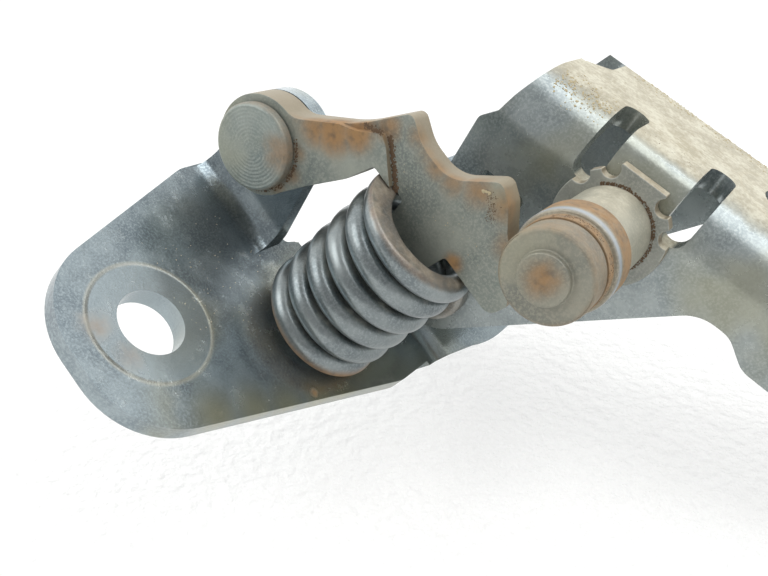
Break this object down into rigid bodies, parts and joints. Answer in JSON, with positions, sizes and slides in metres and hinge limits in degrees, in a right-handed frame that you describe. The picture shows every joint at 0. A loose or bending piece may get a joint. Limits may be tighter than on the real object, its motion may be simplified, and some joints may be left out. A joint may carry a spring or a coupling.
{
  "type": "car door hinge",
  "caption": "Lower car door hinge with two stamped leaves, a sprung check lever under a coil spring and a roller on the door leaf.",
  "frame": {"origin": "midway between the two pillar bolt holes, on the pillar face of the pillar leaf", "axes": "+Z out of the pillar, +Y along the hinge pin from the front foot to the rear foot, +X towards the door leaf's free end"},
  "size_m": [0.1299, 0.1409, 0.0955],
  "materials": {
    "plated_steel": "dark zinc plate, worn and dusty",
    "lever_steel": "plated, rusty at the edges",
    "spring_steel": "satin, oiled",
    "pin_steel": "turned, light rust",
    "roller_steel": "polished by the lever, rusty beside the band",
    "bush_bronze": "dull"
  },
  "bodies": {
    "pillar": {"pillar_leaf": "plated_steel", "hinge_bush_front": "bush_bronze", "hinge_bush_rear": "bush_bronze", "lever_pivot_pin": "pin_steel", "check_spring": "spring_steel"},
    "lever": {"check_lever": "lever_steel"},
    "door": {"door_leaf": "plated_steel", "hinge_pin": "pin_steel", "pin_clip": "spring_steel", "stud_flange": "plated_steel", "stud_sleeve": "pin_steel", "roller_stud": "pin_steel"},
    "roller": {"roller": "roller_steel"}
  },
  "joints": [
    {"name": "door_swing", "type": "hinge", "parent": "pillar", "child": "door", "pos_m": [0.0219, 0.0226, 0.0206], "axis": [0, 1, 0], "range_deg": [0, 55]},
    {"name": "lever_dip", "type": "hinge", "parent": "pillar", "child": "lever", "pos_m": [-0.0185, -0.0211, 0.023], "axis": [0, 1, 0], "range_deg": [0, 10], "stiffness_Nm_per_rad": 150, "deforming": ["check_spring"]},
    {"name": "roller_spin", "type": "hinge", "parent": "door", "child": "roller", "pos_m": [0.03379, -0.0222, 0.05985], "axis": [0, 1, 0], "continuous": true}
  ]
}
